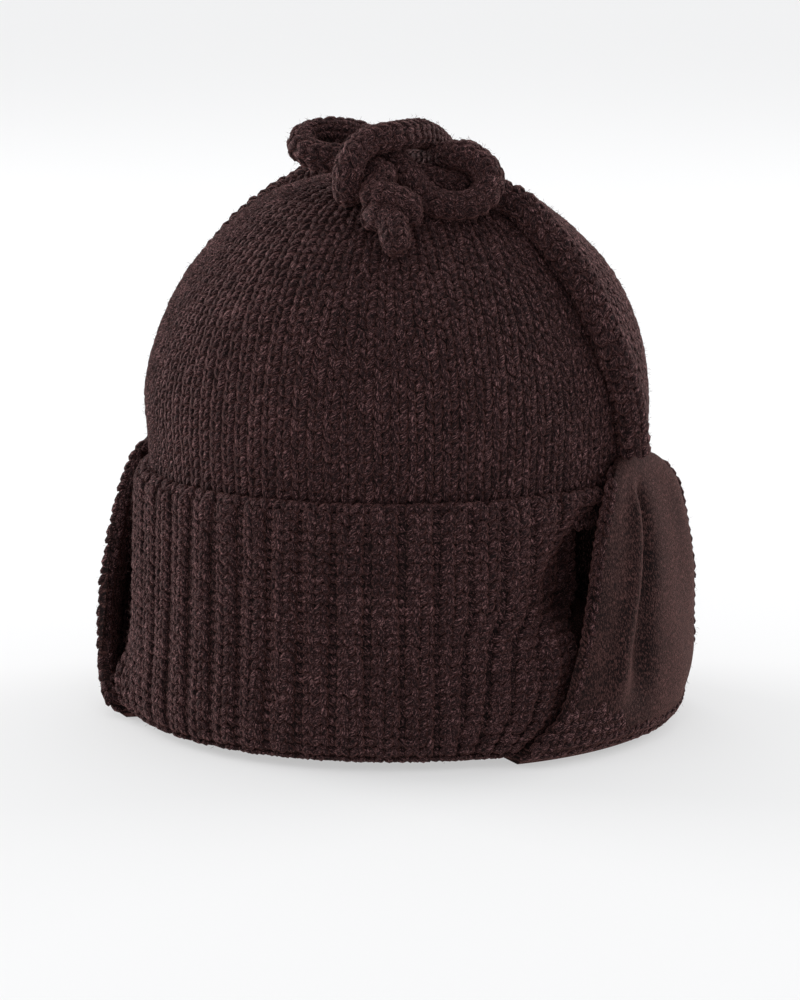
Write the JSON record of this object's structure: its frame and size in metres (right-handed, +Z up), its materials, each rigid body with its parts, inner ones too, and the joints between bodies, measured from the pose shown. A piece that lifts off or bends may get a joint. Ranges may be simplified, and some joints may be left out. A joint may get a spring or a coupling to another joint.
{
  "type": "watch cap",
  "caption": "Knitted watch cap with a deep turned-up ribbed cuff, ear flaps turned up at the sides, and tie cords brought over the crown and tied in a bow.",
  "frame": {"origin": "middle of the cap's underside, on the surface it stands on", "axes": "+Z up through the crown, the front of the cap towards -Y, the wearer's left towards +X"},
  "size_m": [0.2276, 0.2136, 0.2303],
  "materials": {
    "crown_knit": "chunky heathered wool stocking stitch, matt",
    "rib_knit": "chunky heathered wool rib, matt",
    "flap_knit": "brushed wool knit facing, matt",
    "cord_knit": "knitted wool cord, matt"
  },
  "bodies": {
    "root": {"crown": "crown_knit", "front_cuff": "rib_knit", "nape_cuff": "rib_knit", "ear_flap_left": "flap_knit", "ear_flap_right": "flap_knit", "tie_cord_left": "cord_knit", "tie_cord_right": "cord_knit", "tie_knot_left": "cord_knit", "tie_knot_right": "cord_knit"}
  },
  "joints": []
}
